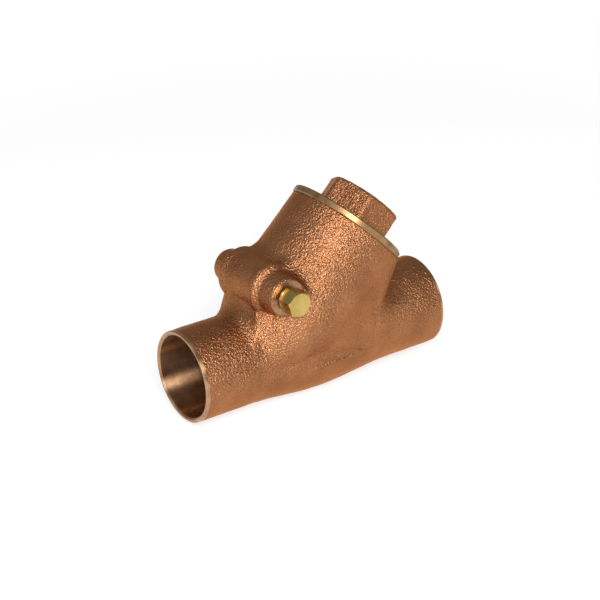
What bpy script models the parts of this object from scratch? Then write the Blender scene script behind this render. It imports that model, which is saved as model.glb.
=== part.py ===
"""One-inch bronze swing check valve, Y pattern, with solder sockets.

The body is one casting: a run with a solder socket at each end, a neck that leans
downstream at 45 degrees, a sloping web with the seat in it, and a cross boss that
carries the hinge pin. A screwed cap with a hexagon closes the neck. Inside, a hanger
swings on the pin and carries a disc holder with a soft seat disc, which can turn on
its stud.

Frame: +X is the flow direction along the run's axis, +Z is up, and the origin is the
middle of the run. The neck leans in the XZ plane.
Branch frame: local Z runs up the neck's axis, local X points down and downstream,
local Y is the world's Y, and its origin is where the neck's axis meets the run's.
"""

import math

import bmesh
import bpy
from mathutils import Matrix, Vector

MM = 0.001
TURN = 2 * math.pi

# Run and sockets
FACE_TO_FACE = 98.6 * MM
SOCKET_BORE_RADIUS = 14.35 * MM
SOCKET_DEPTH = 23.1 * MM
SOCKET_WALL = 1.55 * MM
SOCKET_CHAMFER = 0.5 * MM
STOP_SHOULDER = 1.35 * MM
BELLY_WALL = 4.7 * MM
BELLY_CREST_X = -1.0 * MM
BELLY_UPSTREAM = 27.0 * MM
BELLY_DOWNSTREAM = 31.0 * MM

# Seat and web
BRANCH_ANGLE = math.radians(45)
BRANCH_FOOT_X = -17.7 * MM
SEAT_HEIGHT = 13.8 * MM
SEAT_BORE_RADIUS = 11.4 * MM
SEAT_LAND = 1.7 * MM
SEAT_RAISE = 0.8 * MM
WEB_THICKNESS = 3.7 * MM
THROAT_INSET = 0.3 * MM

# Disc assembly
SEAT_DISC_THICKNESS = 2.2 * MM
HOLDER_RIM_WALL = 1.1 * MM
HOLDER_RIM_DEPTH = 1.9 * MM
HOLDER_PLATE = 2.1 * MM
HOLDER_DOME = 1.9 * MM
HOLDER_HUB_RADIUS = 6.2 * MM
STUD_RADIUS = 2.9 * MM
STUD_ABOVE_NUT = 0.8 * MM
LOWER_STUD_RADIUS = 2.4 * MM
LOWER_STUD_BELOW_NUT = 0.8 * MM
SEAT_DISC_WASHER_RADIUS = 7.0 * MM
SEAT_DISC_WASHER_THICKNESS = 1.0 * MM
SEAT_DISC_NUT_FLATS = 8.0 * MM
SEAT_DISC_NUT_HEIGHT = 2.8 * MM
HANGER_WASHER_RADIUS = 5.2 * MM
HANGER_WASHER_THICKNESS = 0.8 * MM
HANGER_NUT_FLATS = 9.0 * MM
HANGER_NUT_HEIGHT = 3.0 * MM

# Hanger and hinge
PIN_RADIUS = 2.0 * MM
PIN_ABOVE_SEAT = 4.405 * MM
PIN_BEHIND_CHAMBER = 1.105 * MM
HANGER_EYE_WALL = 1.4 * MM
HANGER_EYE_WIDTH = 13.4 * MM
HANGER_PAD_RADIUS = 6.4 * MM
HANGER_PAD_THICKNESS = 2.6 * MM
HANGER_ARM_WIDTH = 7.6 * MM
HANGER_RIB_WIDTH = 2.6 * MM
HANGER_RIB_HEIGHT = 1.6 * MM

# Hinge boss on the body
BOSS_RADIUS = 8.5 * MM
BOSS_TUBE_HALF = 6.4 * MM
BOSS_SHOULDER_RADIUS = 9.3 * MM
BOSS_SHOULDER = 11.2 * MM
BOSS_SHOULDER_ROUND = 2.2 * MM
BOSS_NOSE_RADIUS = 6.5 * MM
BOSS_NOSE_TAPER = 0.9 * MM
BOSS_BLIND_NOSE_RADIUS = 5.7 * MM
BOSS_HALF_LENGTH = 18.1 * MM
BOSS_WALL_CORE = 7.0 * MM
BOSS_WALL_HALF = 8.0 * MM
BOSS_WALL_UPSTREAM = -27.4 * MM
BOSS_WALL_DOWNSTREAM = -12.0 * MM
PIN_END_WALL = 3.6 * MM

# Hinge-pin plug
PLUG_THREAD_RADIUS = 3.2 * MM
PLUG_THREAD_LENGTH = 5.6 * MM
PLUG_GASKET_THICKNESS = 0.4 * MM
PLUG_GASKET_OVERLAP = 0.45 * MM
PLUG_COLLAR_RADIUS = 4.05 * MM
PLUG_COLLAR_LENGTH = 0.9 * MM
PLUG_HEX_FLATS = 7.94 * MM
PLUG_HEX_LENGTH = 5.6 * MM
PLUG_HEX_TURN = math.radians(29.8)

# Neck and cap
CHAMBER_GAP = 3.7 * MM
NECK_WALL = 3.2 * MM
NECK_DRAFT = 1.2 * MM
NECK_UPSTREAM = -26.0 * MM
NECK_DOWNSTREAM = 16.5 * MM
RUN_INSET = 1.4 * MM
NECK_TOP = 51.1 * MM
CAP_THREAD_INSET = 0.9 * MM
CAP_THREAD_LENGTH = 9.3 * MM
CAP_THREAD_WALL = 3.6 * MM
CAP_HOLLOW_DEPTH = 10.2 * MM
CAP_HOLLOW_DOME = 1.6 * MM
CAP_GASKET_THICKNESS = 0.7 * MM
CAP_RECESS_WIDTH = 2.0 * MM
CAP_RECESS_DEPTH = 0.9 * MM
CAP_FLANGE_THICKNESS = 2.45 * MM
CAP_FLANGE_LIP = 0.5 * MM
CAP_HEX_FLATS = 24.5 * MM
CAP_HEX_HEIGHT = 10.1 * MM
CAP_HEX_TURN = math.radians(56.7)
CAP_HEX_OFFSET = (0.2 * MM, -0.5 * MM)

# Clearances
SEAT_GAP = 0.1 * MM
THREAD_GAP = 0.15 * MM
PIN_GAP = 0.1 * MM
EYE_GAP = 0.22 * MM
STUD_GAP = 0.35 * MM
POCKET_GAP = 2.4 * MM

# Casting skin
CAST_ALLOWANCE = 4.0 * MM
SKIN_VOXEL = 1.0 * MM
SKIN_SMOOTHING = 7
SKIN_KEEP = 0.14

# Worked out from the sizes above
HALF_RUN = FACE_TO_FACE / 2
TUBE_RADIUS = SOCKET_BORE_RADIUS + SOCKET_WALL
WATERWAY_RADIUS = SOCKET_BORE_RADIUS - STOP_SHOULDER
BELLY_RADIUS = WATERWAY_RADIUS + BELLY_WALL
WEB_TOP = SEAT_HEIGHT - SEAT_RAISE
WEB_UNDERSIDE = WEB_TOP - WEB_THICKNESS
SEAT_DISC_RADIUS = SEAT_BORE_RADIUS + 0.7 * SEAT_LAND
HOLDER_RADIUS = SEAT_DISC_RADIUS + SEAT_GAP + HOLDER_RIM_WALL
CHAMBER_RADIUS = HOLDER_RADIUS + CHAMBER_GAP
NECK_RADIUS = CHAMBER_RADIUS + NECK_WALL
PIN_OFFSET = CHAMBER_RADIUS + PIN_BEHIND_CHAMBER
PIN_HEIGHT = SEAT_HEIGHT + PIN_ABOVE_SEAT
EYE_RADIUS = PIN_RADIUS + EYE_GAP + HANGER_EYE_WALL
CAP_THREAD_RADIUS = CHAMBER_RADIUS - CAP_THREAD_INSET
CAP_FLANGE_RADIUS = NECK_RADIUS + CAP_FLANGE_LIP
PLUG_HOLE_DEPTH = PLUG_THREAD_LENGTH + 2 * SEAT_GAP

SEAT_DISC_BOTTOM = SEAT_HEIGHT + SEAT_GAP
HOLDER_RECESS = SEAT_DISC_BOTTOM + SEAT_DISC_THICKNESS + SEAT_GAP
HOLDER_PLATE_TOP = HOLDER_RECESS + HOLDER_PLATE
HOLDER_HUB_TOP = HOLDER_PLATE_TOP + HOLDER_DOME
PAD_BOTTOM = HOLDER_HUB_TOP + SEAT_GAP
PAD_TOP = PAD_BOTTOM + HANGER_PAD_THICKNESS
HANGER_WASHER_BOTTOM = PAD_TOP + SEAT_GAP
HANGER_NUT_BOTTOM = HANGER_WASHER_BOTTOM + HANGER_WASHER_THICKNESS + SEAT_GAP
STUD_TOP = HANGER_NUT_BOTTOM + HANGER_NUT_HEIGHT + STUD_ABOVE_NUT
SEAT_DISC_WASHER_TOP = SEAT_DISC_BOTTOM - SEAT_GAP
SEAT_DISC_WASHER_BOTTOM = SEAT_DISC_WASHER_TOP - SEAT_DISC_WASHER_THICKNESS
SEAT_DISC_NUT_TOP = SEAT_DISC_WASHER_BOTTOM - SEAT_GAP
SEAT_DISC_NUT_BOTTOM = SEAT_DISC_NUT_TOP - SEAT_DISC_NUT_HEIGHT
LOWER_STUD_END = SEAT_DISC_NUT_BOTTOM - LOWER_STUD_BELOW_NUT

CAP_GASKET_BOTTOM = NECK_TOP - CAP_RECESS_DEPTH + SEAT_GAP
CAP_FLANGE_BOTTOM = NECK_TOP + THREAD_GAP
CAP_FLANGE_TOP = CAP_FLANGE_BOTTOM + CAP_FLANGE_THICKNESS
CAP_HEX_TOP = CAP_FLANGE_TOP + CAP_HEX_HEIGHT
CAP_SPIGOT_BOTTOM = NECK_TOP - CAP_THREAD_LENGTH
CAP_BORE_RADIUS = CAP_THREAD_RADIUS - CAP_THREAD_WALL

BIG_STEPS = 64
MIDDLE_STEPS = 40
SMALL_STEPS = 32


def branch_matrix():
    """The branch frame in the world."""
    lean, rise = math.cos(BRANCH_ANGLE), math.sin(BRANCH_ANGLE)
    across = Vector((rise, 0, -lean))
    along = Vector((lean, 0, rise))
    matrix = Matrix((across, (0, 1, 0), along)).transposed().to_4x4()
    matrix.translation = (BRANCH_FOOT_X, 0, 0)
    return matrix


ALONG_X = Matrix.Rotation(TURN / 4, 4, "Y")
ALONG_MINUS_Y = Matrix.Rotation(TURN / 4, 4, "X")
BRANCH = branch_matrix()
PIN_CENTRE = Vector((-PIN_OFFSET, 0, PIN_HEIGHT))


def material(name, colour, roughness, metallic):
    made = bpy.data.materials.new(name)
    made.use_nodes = True
    shader = made.node_tree.nodes["Principled BSDF"]
    shader.inputs["Base Color"].default_value = (*colour, 1)
    shader.inputs["Roughness"].default_value = roughness
    shader.inputs["Metallic"].default_value = metallic
    made.diffuse_color = (*colour, 1)
    return made


def turned(profile, steps, matrix=None):
    """A bmesh turned about local Z. The profile is (radius, height) points, and both ends
    lie on the axis or the profile is a closed ring."""
    solid = bmesh.new()
    points = [solid.verts.new((radius, 0, height)) for radius, height in profile]
    edges = [solid.edges.new(pair) for pair in zip(points, points[1:])]
    if profile[0][0] > 0:
        edges.append(solid.edges.new((points[-1], points[0])))
    bmesh.ops.spin(
        solid, geom=points + edges, cent=(0, 0, 0), axis=(0, 0, 1), angle=TURN, steps=steps, use_merge=True
    )
    bmesh.ops.remove_doubles(solid, verts=solid.verts, dist=1e-7)
    bmesh.ops.recalc_face_normals(solid, faces=solid.faces)
    if matrix is not None:
        bmesh.ops.transform(solid, matrix=matrix, verts=solid.verts)
    return solid


def washer_profile(inner, outer, bottom, top):
    return [(inner, bottom), (outer, bottom), (outer, top), (inner, top)]


def rod_profile(radius, bottom, top, chamfer=0.0):
    points = [(0, bottom), (radius - chamfer, bottom)]
    if chamfer:
        points += [(radius, bottom + chamfer), (radius, top - chamfer)]
    else:
        points += [(radius, top)]
    return points + [(radius - chamfer, top), (0, top)] if chamfer else points + [(0, top)]


def hexagon(flats, bottom, top, turn=0.0):
    """A plain hexagonal prism about local Z, with its first corner at that turn from local X."""
    solid = bmesh.new()
    corner = flats / math.sqrt(3)
    ring = [
        solid.verts.new((corner * math.cos(turn + k * TURN / 6), corner * math.sin(turn + k * TURN / 6), bottom))
        for k in range(6)
    ]
    base = solid.faces.new(ring)
    raised = bmesh.ops.extrude_face_region(solid, geom=[base])["geom"]
    verts = [item for item in raised if isinstance(item, bmesh.types.BMVert)]
    bmesh.ops.translate(solid, vec=(0, 0, top - bottom), verts=verts)
    bmesh.ops.recalc_face_normals(solid, faces=solid.faces)
    return solid


def box(low, high, matrix=None):
    solid = bmesh.new()
    bmesh.ops.create_cube(solid, size=1)
    size = Vector(high) - Vector(low)
    place = Matrix.Translation((Vector(high) + Vector(low)) / 2) @ Matrix.Diagonal((*size, 1))
    bmesh.ops.transform(solid, matrix=place if matrix is None else matrix @ place, verts=solid.verts)
    return solid


def ring_points(radius, height, steps, matrix):
    return [
        matrix @ Vector((radius * math.cos(k * TURN / steps), radius * math.sin(k * TURN / steps), height))
        for k in range(steps)
    ]


def hull(points):
    solid = bmesh.new()
    verts = [solid.verts.new(point) for point in points]
    found = bmesh.ops.convex_hull(solid, input=verts)
    spare = [item for item in found["geom_interior"] + found["geom_unused"] if isinstance(item, bmesh.types.BMVert)]
    bmesh.ops.delete(solid, geom=list(set(spare)), context="VERTS")
    bmesh.ops.recalc_face_normals(solid, faces=solid.faces)
    return solid


def tapered_bar(start, end, start_half, end_half, start_heights, end_heights):
    """A bar along local X with its own half width and pair of heights at each end."""
    return hull(
        [Vector((start, side * start_half, z)) for side in (-1, 1) for z in start_heights]
        + [Vector((end, side * end_half, z)) for side in (-1, 1) for z in end_heights]
    )


def keep_side(solid, point, normal):
    """Cuts a closed bmesh by a plane, keeps the side that the normal points away from, and closes it."""
    geom = solid.verts[:] + solid.edges[:] + solid.faces[:]
    cut = bmesh.ops.bisect_plane(solid, geom=geom, plane_co=point, plane_no=normal, clear_outer=True, dist=1e-7)
    rim = [item for item in cut["geom_cut"] if isinstance(item, bmesh.types.BMEdge)]
    bmesh.ops.contextual_create(solid, geom=rim)
    bmesh.ops.recalc_face_normals(solid, faces=solid.faces)
    return solid


def add(name, solid, finish=None, parent=None):
    """A named object from a bmesh, shaded smooth except at its sharp edges."""
    mesh = bpy.data.meshes.new(name)
    solid.to_mesh(mesh)
    solid.free()
    mesh.shade_smooth()
    mesh.set_sharp_from_angle(angle=math.radians(32))
    made = bpy.data.objects.new(name, mesh)
    bpy.context.scene.collection.objects.link(made)
    if finish is not None:
        mesh.materials.append(finish)
    if parent is not None:
        made.parent = parent
    return made


def empty(name, matrix, parent=None):
    made = bpy.data.objects.new(name, None)
    bpy.context.scene.collection.objects.link(made)
    made.parent = parent
    made.matrix_local = matrix
    return made


def helper(name, solid):
    """A cutter or a joining piece, which isn't part of the valve."""
    made = add(name, solid)
    made.hide_render = True
    made.display_type = "WIRE"
    return made


def boolean(target, tool, operation="DIFFERENCE"):
    modifier = target.modifiers.new(f"{operation.lower()} {tool.name}", "BOOLEAN")
    modifier.operation = operation
    modifier.solver = "EXACT"
    modifier.object = tool


def joined(solids):
    """Several closed bmeshes in one, still overlapping."""
    whole = bmesh.new()
    for solid in solids:
        mesh = bpy.data.meshes.new("joining")
        solid.to_mesh(mesh)
        solid.free()
        whole.from_mesh(mesh)
        bpy.data.meshes.remove(mesh)
    return whole


def run_radius(x):
    """Outer radius of the run: the socket tubes, with the belly swelling between them."""
    reach = BELLY_UPSTREAM if x < BELLY_CREST_X else BELLY_DOWNSTREAM
    share = min(abs(x - BELLY_CREST_X) / reach, 1)
    return TUBE_RADIUS + (BELLY_RADIUS - TUBE_RADIUS) * (1 + math.cos(math.pi * share)) / 2


def run_casting():
    end = HALF_RUN + CAST_ALLOWANCE
    stations = [BELLY_CREST_X - BELLY_UPSTREAM * k / 8 for k in range(8, 0, -1)]
    stations += [BELLY_CREST_X + BELLY_DOWNSTREAM * k / 8 for k in range(9)]
    outline = [(0, -end), (run_radius(-end), -end)]
    outline += [(run_radius(x), x) for x in stations]
    outline += [(run_radius(end), end), (0, end)]
    return turned(outline, BIG_STEPS, ALONG_X)


def neck_casting():
    """The neck with a little draft, and the swollen sides that carry it down to the run."""
    points = ring_points(NECK_RADIUS, NECK_TOP + CAST_ALLOWANCE, BIG_STEPS, BRANCH)
    points += ring_points(NECK_RADIUS + NECK_DRAFT, PIN_HEIGHT, BIG_STEPS, BRANCH)
    for x in (NECK_UPSTREAM, NECK_DOWNSTREAM):
        points += ring_points(run_radius(x) - RUN_INSET, x, BIG_STEPS, ALONG_X)
    return hull(points)


def boss_casting():
    """The cross boss for the hinge pin: a tube with a rounded shoulder and a tapered nose at each end."""
    round_start = BOSS_SHOULDER - BOSS_SHOULDER_ROUND
    round_middle = BOSS_SHOULDER - BOSS_SHOULDER_ROUND / 3
    middle_radius = BOSS_SHOULDER_RADIUS - BOSS_SHOULDER_ROUND / 4
    near_end = BOSS_HALF_LENGTH + CAST_ALLOWANCE / 12
    outline = [
        (0, -BOSS_HALF_LENGTH),
        (BOSS_BLIND_NOSE_RADIUS, -BOSS_HALF_LENGTH),
        (BOSS_BLIND_NOSE_RADIUS + BOSS_NOSE_TAPER, -BOSS_SHOULDER),
        (middle_radius, -round_middle),
        (BOSS_SHOULDER_RADIUS, -round_start),
        (BOSS_RADIUS, -BOSS_TUBE_HALF),
        (BOSS_RADIUS, BOSS_TUBE_HALF),
        (BOSS_SHOULDER_RADIUS, round_start),
        (middle_radius, round_middle),
        (BOSS_NOSE_RADIUS + BOSS_NOSE_TAPER, BOSS_SHOULDER),
        (BOSS_NOSE_RADIUS, near_end),
        (0, near_end),
    ]
    return turned(outline, MIDDLE_STEPS, BRANCH @ Matrix.Translation(PIN_CENTRE) @ ALONG_MINUS_Y)


def boss_wall():
    """The steep wall that carries the boss on the run."""
    place = BRANCH @ Matrix.Translation(PIN_CENTRE) @ ALONG_MINUS_Y
    points = []
    for end in (-BOSS_WALL_HALF, BOSS_WALL_HALF):
        points += ring_points(BOSS_WALL_CORE, end, MIDDLE_STEPS, place)
    for x in (BOSS_WALL_UPSTREAM, BOSS_WALL_DOWNSTREAM):
        points += ring_points(run_radius(x) - RUN_INSET, x, BIG_STEPS, ALONG_X)
    return hull(points)


def inlet_cavity():
    """Socket, stop shoulder and the waterway as far as the underside of the web."""
    stop = -HALF_RUN + SOCKET_DEPTH
    outline = [
        (0, -HALF_RUN - CAST_ALLOWANCE),
        (SOCKET_BORE_RADIUS + SOCKET_CHAMFER + CAST_ALLOWANCE, -HALF_RUN - CAST_ALLOWANCE),
        (SOCKET_BORE_RADIUS, -HALF_RUN + SOCKET_CHAMFER),
        (SOCKET_BORE_RADIUS, stop),
        (WATERWAY_RADIUS, stop),
        (WATERWAY_RADIUS, HALF_RUN),
        (0, HALF_RUN),
    ]
    solid = turned(outline, BIG_STEPS, ALONG_X)
    return keep_side(solid, BRANCH @ Vector((0, 0, WEB_UNDERSIDE)), BRANCH.to_3x3() @ Vector((0, 0, 1)))


def outlet_cavity():
    """Socket, stop shoulder and the waterway back to the top of the web."""
    stop = HALF_RUN - SOCKET_DEPTH
    outline = [
        (0, -HALF_RUN),
        (WATERWAY_RADIUS, -HALF_RUN),
        (WATERWAY_RADIUS, stop),
        (SOCKET_BORE_RADIUS, stop),
        (SOCKET_BORE_RADIUS, HALF_RUN - SOCKET_CHAMFER),
        (SOCKET_BORE_RADIUS + SOCKET_CHAMFER + CAST_ALLOWANCE, HALF_RUN + CAST_ALLOWANCE),
        (0, HALF_RUN + CAST_ALLOWANCE),
    ]
    solid = turned(outline, BIG_STEPS, ALONG_X)
    return keep_side(solid, BRANCH @ Vector((0, 0, WEB_TOP)), BRANCH.to_3x3() @ Vector((0, 0, -1)))


def throat_cavity():
    """The passage that turns from the inlet waterway up to the seat."""
    start = -HALF_RUN + SOCKET_DEPTH - SEAT_GAP
    points = ring_points(WATERWAY_RADIUS - THROAT_INSET, start, BIG_STEPS, ALONG_X)
    points += ring_points(SEAT_BORE_RADIUS - THROAT_INSET, WEB_UNDERSIDE + THROAT_INSET, BIG_STEPS, BRANCH)
    return hull(points)


def chamber_cavity():
    """Seat bore, seat land, disc chamber and the cap's threaded mouth, all turned about the neck's axis."""
    land = SEAT_BORE_RADIUS + SEAT_LAND
    thread = CAP_THREAD_RADIUS + THREAD_GAP
    thread_bottom = CAP_SPIGOT_BOTTOM - SEAT_RAISE
    recess = thread + CAP_RECESS_WIDTH
    outline = [
        (0, WEB_UNDERSIDE - SEAT_GAP),
        (SEAT_BORE_RADIUS, WEB_UNDERSIDE - SEAT_GAP),
        (SEAT_BORE_RADIUS, SEAT_HEIGHT),
        (land, SEAT_HEIGHT),
        (land, WEB_TOP - THROAT_INSET),
        (CHAMBER_RADIUS, WEB_TOP - THROAT_INSET),
        (CHAMBER_RADIUS, thread_bottom - CAP_THREAD_INSET),
        (thread, thread_bottom),
        (thread, NECK_TOP - CAP_RECESS_DEPTH),
        (recess, NECK_TOP - CAP_RECESS_DEPTH),
        (recess, NECK_TOP + 2 * CAST_ALLOWANCE),
        (0, NECK_TOP + 2 * CAST_ALLOWANCE),
    ]
    return turned(outline, BIG_STEPS, BRANCH)


def hinge_cavities():
    """The pocket for the hanger's eye, and the pin's drilled hole with the plug's wider hole at the near end."""
    place = BRANCH @ Matrix.Translation(PIN_CENTRE) @ ALONG_MINUS_Y
    half_pocket = HANGER_EYE_WIDTH / 2 + POCKET_GAP / 2
    pocket = turned(rod_profile(EYE_RADIUS + POCKET_GAP, -half_pocket, half_pocket), MIDDLE_STEPS, place)
    hole = PIN_RADIUS + PIN_GAP
    plug_hole = PLUG_THREAD_RADIUS + THREAD_GAP
    outline = [
        (0, -BOSS_HALF_LENGTH + PIN_END_WALL),
        (hole, -BOSS_HALF_LENGTH + PIN_END_WALL),
        (hole, BOSS_HALF_LENGTH - PLUG_HOLE_DEPTH),
        (plug_hole, BOSS_HALF_LENGTH - PLUG_HOLE_DEPTH),
        (plug_hole, BOSS_HALF_LENGTH + 2 * CAST_ALLOWANCE),
        (0, BOSS_HALF_LENGTH + 2 * CAST_ALLOWANCE),
    ]
    return pocket, turned(outline, SMALL_STEPS, place)


def facing_cutters():
    """Cutters that face off the run's ends, the neck's top and the near end of the hinge boss."""
    far = 2 * FACE_TO_FACE
    upstream = box((-far, -far, -far), (-HALF_RUN, far, far))
    downstream = box((HALF_RUN, -far, -far), (far, far, far))
    wide = NECK_RADIUS + CAST_ALLOWANCE
    top = box((-wide, -wide, NECK_TOP), (wide, wide, NECK_TOP + 2 * CAST_ALLOWANCE), BRANCH)
    nose = BOSS_NOSE_RADIUS - CAST_ALLOWANCE / 16
    place = BRANCH @ Matrix.Translation(PIN_CENTRE) @ ALONG_MINUS_Y
    near = turned(rod_profile(nose, BOSS_HALF_LENGTH, BOSS_HALF_LENGTH + CAST_ALLOWANCE), MIDDLE_STEPS, place)
    return {"face_upstream": upstream, "face_downstream": downstream, "face_neck": top, "face_boss": near}


def make_body(finish):
    """The cast skin is the run, neck and boss grown into one and softened, then machined."""
    body = add("body", joined([run_casting(), neck_casting(), boss_casting(), boss_wall()]), finish)
    skin = body.modifiers.new("cast skin", "REMESH")
    skin.mode = "VOXEL"
    skin.voxel_size = SKIN_VOXEL
    skin.use_smooth_shade = True
    soften = body.modifiers.new("cast fillets", "SMOOTH")
    soften.factor = 0.5
    soften.iterations = SKIN_SMOOTHING
    thin = body.modifiers.new("fewer faces", "DECIMATE")
    thin.ratio = SKIN_KEEP
    for name, solid in facing_cutters().items():
        boolean(body, helper(name, solid))
    pocket, pin_hole = hinge_cavities()
    cavities = {
        "inlet_cavity": inlet_cavity(),
        "throat_cavity": throat_cavity(),
        "outlet_cavity": outlet_cavity(),
        "chamber_cavity": chamber_cavity(),
        "hinge_pocket": pocket,
        "pin_hole": pin_hole,
    }
    for name, solid in cavities.items():
        boolean(body, helper(name, solid))
    return body


def make_cap(finish, branch):
    """Spigot, flange and hexagon in one piece, hollow from below."""
    hollow_top = CAP_SPIGOT_BOTTOM + CAP_HOLLOW_DEPTH
    corner = CAP_HEX_FLATS / math.sqrt(3)
    shoulder = CAP_HEX_HEIGHT * 0.15
    stem = [
        (CAP_BORE_RADIUS, CAP_SPIGOT_BOTTOM),
        (CAP_THREAD_RADIUS - SEAT_RAISE, CAP_SPIGOT_BOTTOM),
        (CAP_THREAD_RADIUS, CAP_SPIGOT_BOTTOM + SEAT_RAISE),
        (CAP_THREAD_RADIUS, CAP_FLANGE_BOTTOM),
        (CAP_FLANGE_RADIUS, CAP_FLANGE_BOTTOM),
        (CAP_FLANGE_RADIUS, CAP_FLANGE_TOP - SEAT_RAISE / 2),
        (CAP_FLANGE_RADIUS - SEAT_RAISE / 2, CAP_FLANGE_TOP),
        (0, CAP_FLANGE_TOP),
        (0, hollow_top + CAP_HOLLOW_DOME),
        (CAP_BORE_RADIUS * 0.55, hollow_top + CAP_HOLLOW_DOME * 0.8),
        (CAP_BORE_RADIUS, hollow_top - CAP_HOLLOW_DOME),
    ]
    cap = add("cap", turned(closed_at_axis(stem), BIG_STEPS), finish, branch)
    prism = helper("cap_hexagon", hexagon(CAP_HEX_FLATS, CAP_FLANGE_TOP - SEAT_RAISE, CAP_HEX_TOP, CAP_HEX_TURN))
    offset = Matrix.Translation((*CAP_HEX_OFFSET, 0))
    crown = [
        (0, CAP_FLANGE_TOP - 2 * SEAT_RAISE),
        (corner * 1.05, CAP_FLANGE_TOP - 2 * SEAT_RAISE),
        (corner * 1.05, CAP_HEX_TOP - shoulder),
        (corner * 0.93, CAP_HEX_TOP - shoulder * 0.42),
        (CAP_HEX_FLATS / 2 * 0.93, CAP_HEX_TOP - shoulder * 0.1),
        (CAP_HEX_FLATS / 2 * 0.8, CAP_HEX_TOP + SEAT_GAP),
        (0, CAP_HEX_TOP + SEAT_GAP),
    ]
    turned_crown = helper("cap_crown", turned(crown, BIG_STEPS))
    boolean(prism, turned_crown, "INTERSECT")
    for tool in (prism, turned_crown):
        tool.parent = branch
        tool.matrix_local = offset
    boolean(cap, prism, "UNION")
    return cap


def closed_at_axis(points):
    """The same closed outline, started at its last point on the axis so that both ends lie there."""
    start = max(k for k, (radius, _) in enumerate(points) if radius == 0)
    return points[start:] + points[:start]


def make_cap_gasket(finish, branch):
    inner = CAP_THREAD_RADIUS + THREAD_GAP
    outer = inner + CAP_RECESS_WIDTH - THREAD_GAP
    top = CAP_GASKET_BOTTOM + CAP_GASKET_THICKNESS
    return add("cap_gasket", turned(washer_profile(inner, outer, CAP_GASKET_BOTTOM, top), BIG_STEPS), finish, branch)


def make_hinge_pin(finish, pivot):
    """The pin lies in the boss from the blind end to the plug."""
    far = -BOSS_HALF_LENGTH + PIN_END_WALL + SEAT_GAP
    near = BOSS_HALF_LENGTH - PLUG_HOLE_DEPTH - SEAT_GAP
    pin = turned(rod_profile(PIN_RADIUS, far, near, SEAT_GAP * 4), SMALL_STEPS, ALONG_MINUS_Y)
    return add("hinge_pin", pin, finish, pivot)


def make_plug(finish, pivot):
    """Threaded shank, round collar and hexagon."""
    seat = BOSS_HALF_LENGTH + SEAT_GAP + PLUG_GASKET_THICKNESS + SEAT_GAP
    inner_end = BOSS_HALF_LENGTH - PLUG_THREAD_LENGTH
    collar_top = seat + PLUG_COLLAR_LENGTH
    hex_top = collar_top + PLUG_HEX_LENGTH
    shank = [
        (0, inner_end),
        (PLUG_THREAD_RADIUS - SEAT_GAP * 5, inner_end),
        (PLUG_THREAD_RADIUS, inner_end + SEAT_GAP * 5),
        (PLUG_THREAD_RADIUS, seat),
        (PLUG_COLLAR_RADIUS, seat),
        (PLUG_COLLAR_RADIUS, collar_top),
        (0, collar_top),
    ]
    plug = add("hinge_pin_plug", turned(shank, SMALL_STEPS, ALONG_MINUS_Y), finish, pivot)
    corner = PLUG_HEX_FLATS / math.sqrt(3)
    crown = [
        (0, collar_top - PLUG_COLLAR_LENGTH),
        (corner * 1.05, collar_top - PLUG_COLLAR_LENGTH),
        (corner * 1.05, hex_top - (corner * 1.05 - PLUG_HEX_FLATS / 2) * math.tan(math.radians(30))),
        (PLUG_HEX_FLATS / 2 * 0.97, hex_top + SEAT_GAP / 2),
        (0, hex_top + SEAT_GAP / 2),
    ]
    prism_solid = hexagon(PLUG_HEX_FLATS, collar_top - PLUG_COLLAR_LENGTH / 2, hex_top, PLUG_HEX_TURN)
    bmesh.ops.transform(prism_solid, matrix=ALONG_MINUS_Y, verts=prism_solid.verts)
    prism = helper("plug_hexagon", prism_solid)
    turned_crown = helper("plug_crown", turned(crown, SMALL_STEPS, ALONG_MINUS_Y))
    boolean(prism, turned_crown, "INTERSECT")
    for tool in (prism, turned_crown):
        tool.parent = pivot
    boolean(plug, prism, "UNION")
    return plug


def make_plug_gasket(finish, pivot):
    bottom = BOSS_HALF_LENGTH + SEAT_GAP
    inner = PLUG_THREAD_RADIUS + THREAD_GAP
    outer = inner + PLUG_GASKET_OVERLAP
    ring = turned(washer_profile(inner, outer, bottom, bottom + PLUG_GASKET_THICKNESS), SMALL_STEPS, ALONG_MINUS_Y)
    return add("plug_gasket", ring, finish, pivot)


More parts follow.
